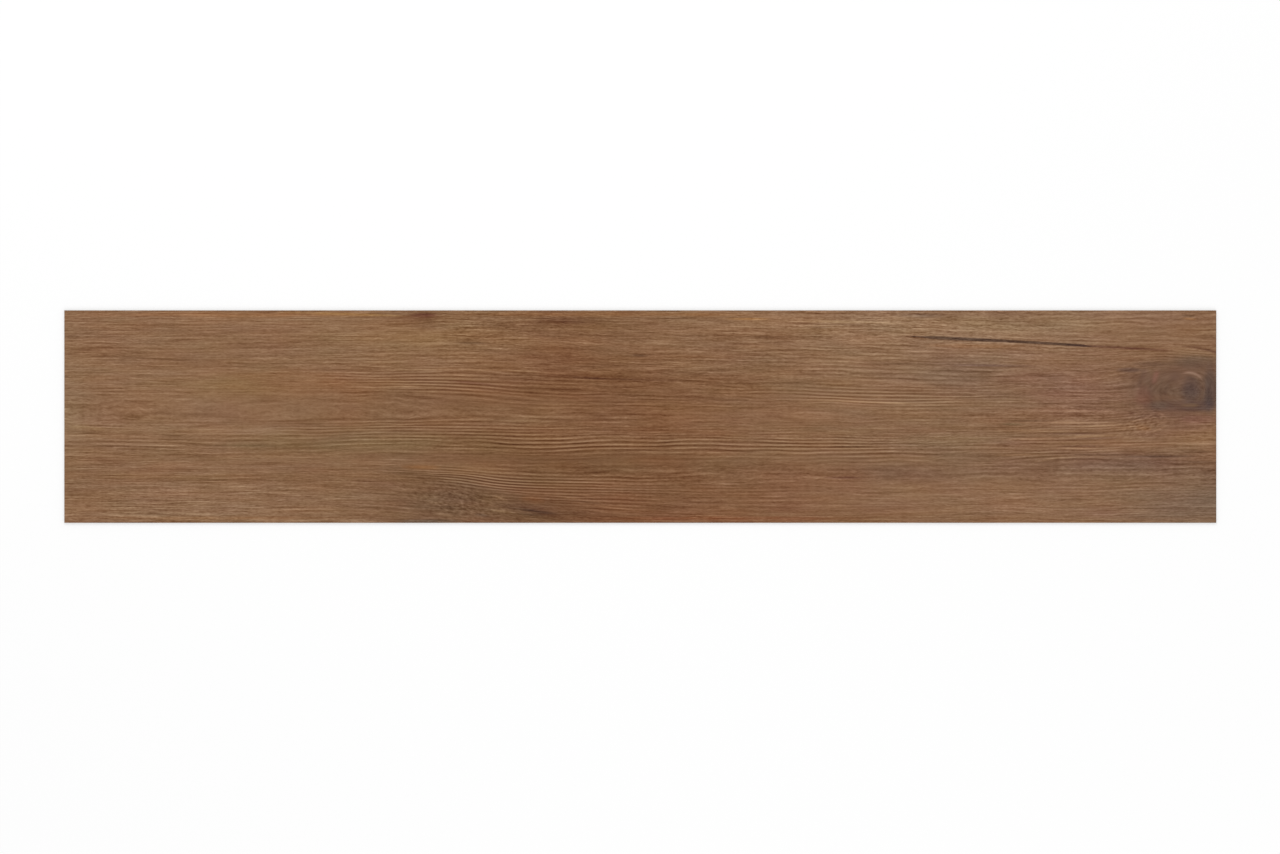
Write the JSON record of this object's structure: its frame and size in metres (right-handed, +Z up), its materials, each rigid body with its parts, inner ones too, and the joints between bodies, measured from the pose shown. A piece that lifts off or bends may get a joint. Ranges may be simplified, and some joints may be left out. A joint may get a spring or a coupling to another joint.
{
  "type": "glue-down vinyl plank",
  "caption": "Thin flat rectangular wood-look vinyl floor plank with square-cut edges and an eased top arris, glued down to a level subfloor and butted edge to edge.",
  "frame": {"origin": "centre of the glue face, on the floor that the plank lies on", "axes": "+X along the plank's length, +Y across its width, +Z up through the wear face"},
  "size_m": [1.22, 0.225, 0.0025],
  "materials": {
    "printed_vinyl": "satin"
  },
  "bodies": {
    "root": {"plank": "printed_vinyl"}
  },
  "joints": []
}
